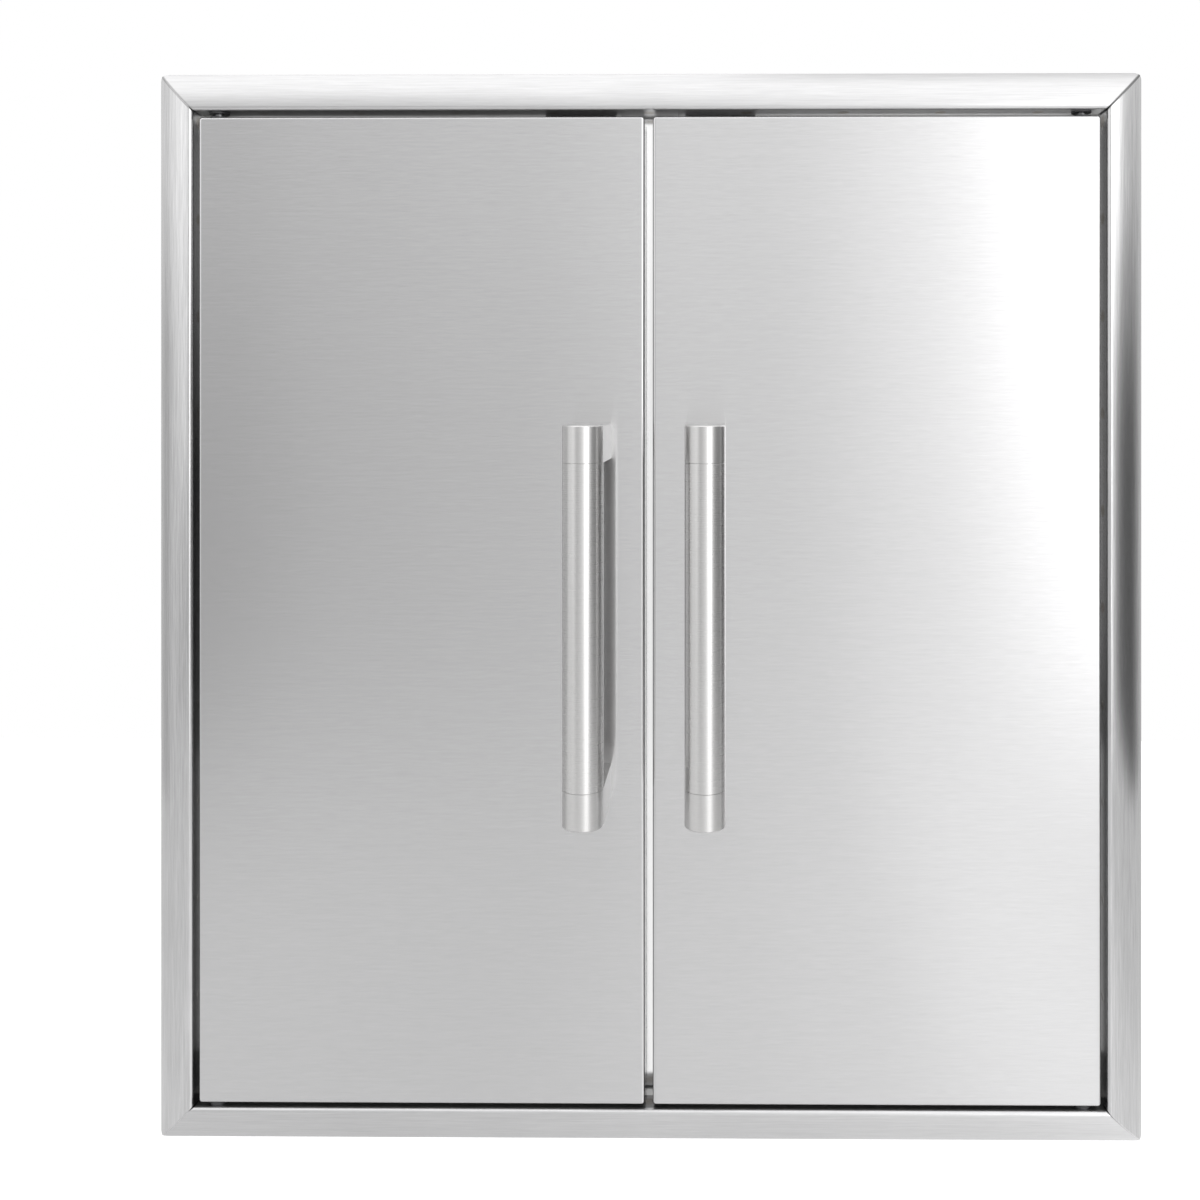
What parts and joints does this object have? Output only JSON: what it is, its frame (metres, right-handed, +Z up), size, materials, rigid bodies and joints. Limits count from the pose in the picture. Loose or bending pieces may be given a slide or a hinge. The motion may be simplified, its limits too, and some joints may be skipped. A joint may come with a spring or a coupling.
{
  "type": "outdoor kitchen double access door",
  "caption": "Stainless double access door for an outdoor kitchen island: raised mitred trim, sleeve, flush swing doors on pivots and vertical bar handles.",
  "frame": {"origin": "on the underside of the sleeve's sill, at mid width, where it crosses the plane of the island's wall", "axes": "+X to the right as seen from the front, +Y into the island, +Z up; the doors face -Y"},
  "size_m": [0.61, 0.1334, 0.662],
  "materials": {
    "brushed_stainless": "horizontal brushed grain",
    "satin_stainless": "fine satin, cross-brushed",
    "plated_steel": "zinc plated",
    "nylon": "natural nylon",
    "catch_plastic": "black moulded",
    "magnet": "dull grey ferrite",
    "bumper_rubber": "soft black"
  },
  "bodies": {
    "frame": {"trim_top_rail": "brushed_stainless", "trim_bottom_rail": "brushed_stainless", "trim_left_stile": "brushed_stainless", "trim_right_stile": "brushed_stainless", "sleeve_sill": "brushed_stainless", "sleeve_head": "brushed_stainless", "sleeve_left_jamb": "brushed_stainless", "sleeve_right_jamb": "brushed_stainless", "centre_mullion": "brushed_stainless", "door_bumpers": "bumper_rubber", "catch_housings": "catch_plastic", "catch_magnets": "magnet", "catch_pole_plates": "plated_steel", "catch_screws": "plated_steel", "head_bushes": "nylon", "sill_studs": "plated_steel", "thrust_washers": "nylon"},
    "left_door": {"left_door_pan": "brushed_stainless", "left_door_liner": "brushed_stainless", "left_striker_plate": "plated_steel", "left_handle_tube": "satin_stainless", "left_handle_brackets": "satin_stainless", "left_handle_backing_plates": "plated_steel", "left_handle_screws": "plated_steel", "left_lower_hinge_bracket": "plated_steel", "left_pivot_bushes": "nylon", "left_pin_carrier": "plated_steel", "left_pin_spring": "plated_steel"},
    "left_pin": {"left_hinge_pin": "plated_steel", "left_pin_collar": "plated_steel", "left_release_knob": "plated_steel"},
    "right_door": {"right_door_pan": "brushed_stainless", "right_door_liner": "brushed_stainless", "right_striker_plate": "plated_steel", "right_handle_tube": "satin_stainless", "right_handle_brackets": "satin_stainless", "right_handle_backing_plates": "plated_steel", "right_handle_screws": "plated_steel", "right_lower_hinge_bracket": "plated_steel", "right_pivot_bushes": "nylon", "right_pin_carrier": "plated_steel", "right_pin_spring": "plated_steel"},
    "right_pin": {"right_hinge_pin": "plated_steel", "right_pin_collar": "plated_steel", "right_release_knob": "plated_steel"}
  },
  "joints": [
    {"name": "left_door_hinge", "type": "hinge", "parent": "frame", "child": "left_door", "pos_m": [-0.2664, -0.0077, 0], "axis": [0, 0, -1], "range_deg": [0, 110]},
    {"name": "left_pin_slide", "type": "slide", "parent": "left_door", "child": "left_pin", "axis": [0, 0, -1], "range_m": [0, 0.008], "stiffness_N_per_m": 800, "springref_m": -0.01, "deforming": ["left_pin_spring"]},
    {"name": "right_door_hinge", "type": "hinge", "parent": "frame", "child": "right_door", "pos_m": [0.2664, -0.0077, 0], "axis": [0, 0, 1], "range_deg": [0, 110]},
    {"name": "right_pin_slide", "type": "slide", "parent": "right_door", "child": "right_pin", "axis": [0, 0, -1], "range_m": [0, 0.008], "stiffness_N_per_m": 800, "springref_m": -0.01, "deforming": ["right_pin_spring"]}
  ]
}
